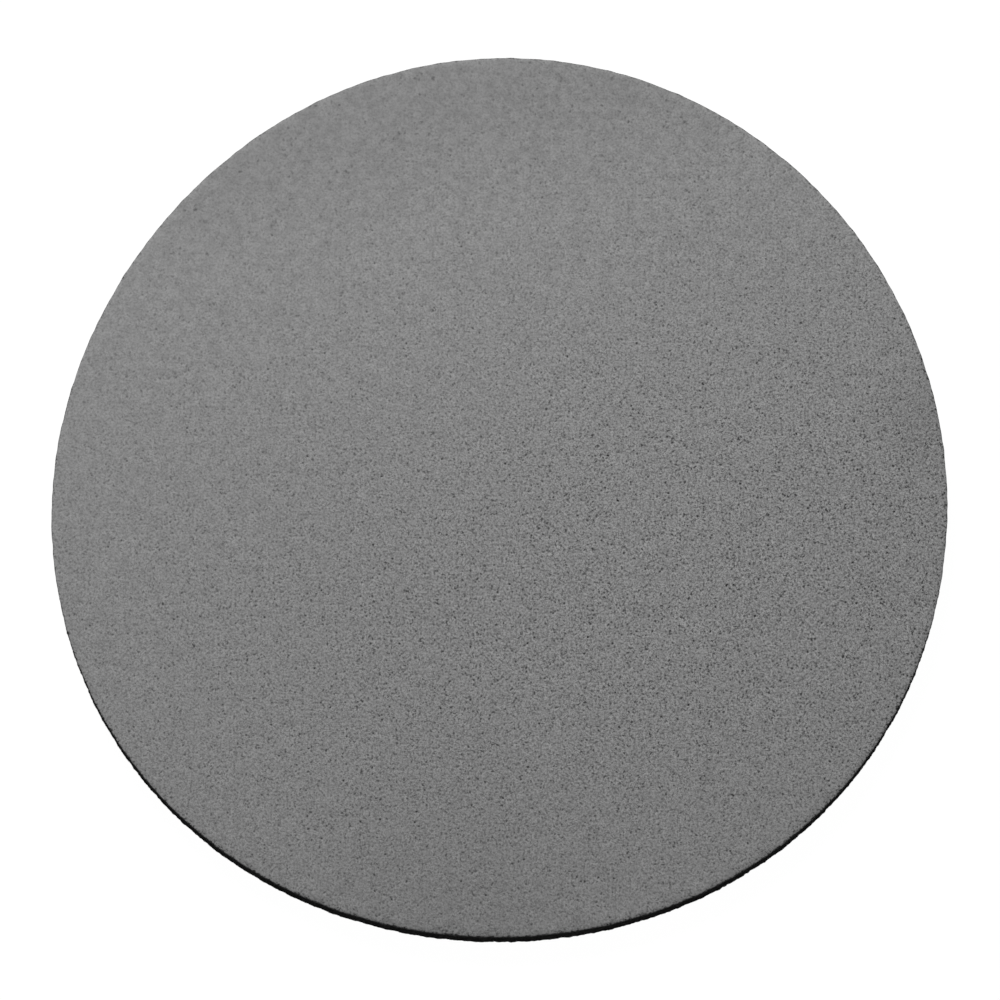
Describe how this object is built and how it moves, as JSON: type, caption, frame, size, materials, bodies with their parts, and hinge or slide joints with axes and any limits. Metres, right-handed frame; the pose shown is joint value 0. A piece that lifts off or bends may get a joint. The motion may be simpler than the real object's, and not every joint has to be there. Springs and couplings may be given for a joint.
{
  "type": "abrasive foam disc",
  "caption": "Thin round foam sanding disc: a finely pitted grey abrasive face on a black foam pad, with a loop-pile backing underneath.",
  "frame": {"origin": "centre of the underside, where the loop backing meets the surface that the disc lies on", "axes": "+Z is the disc's own axis, out of the abrasive face; X and Y lie in the disc and are alike"},
  "size_m": [0.15, 0.15, 0.006],
  "materials": {
    "abrasive_coat": "matt, finely pitted",
    "black_foam": "matt open-cell foam",
    "loop_cloth": "matt knitted loop pile"
  },
  "bodies": {
    "root": {"abrasive_face": "abrasive_coat", "foam_pad": "black_foam", "loop_backing": "loop_cloth"}
  },
  "joints": []
}
